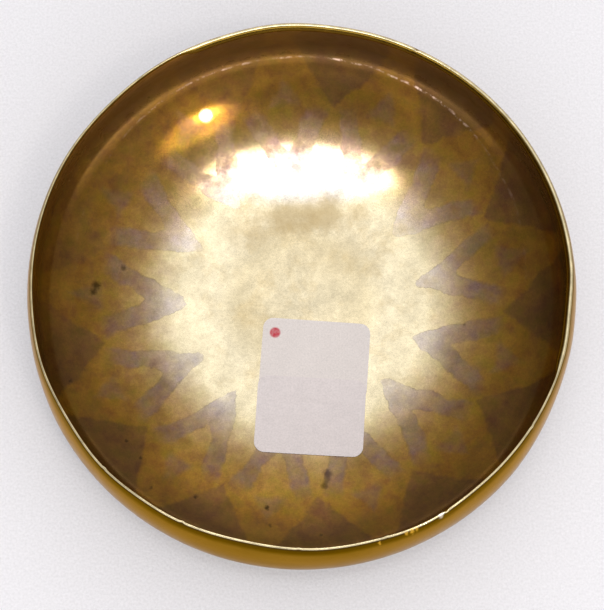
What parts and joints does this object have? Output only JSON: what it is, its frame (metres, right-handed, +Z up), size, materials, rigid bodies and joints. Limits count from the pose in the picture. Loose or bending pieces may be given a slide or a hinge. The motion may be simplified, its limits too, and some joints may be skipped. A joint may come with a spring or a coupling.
{
  "type": "brass dish",
  "caption": "Small round brass dish with a rounded belly, a slightly drawn-in mouth and a flat resting disc, with blank paper stickers stuck inside it.",
  "frame": {"origin": "middle of the flat disc the dish stands on, at table height", "axes": "+Z up through the mouth, +X to the right and +Y away from the viewer in the picture"},
  "size_m": [0.1088, 0.1088, 0.0275],
  "materials": {
    "tinned_brass": "old hand-finished brass, satin, brown towards the rim, with worn grey tinning in a ring of chevrons",
    "upper_paper": "matt white sticker paper, slightly greyed, blank",
    "lower_paper": "matt white sticker paper, blank"
  },
  "bodies": {
    "root": {"dish_bowl": "tinned_brass", "upper_sticker": "upper_paper", "lower_sticker": "lower_paper"}
  },
  "joints": []
}
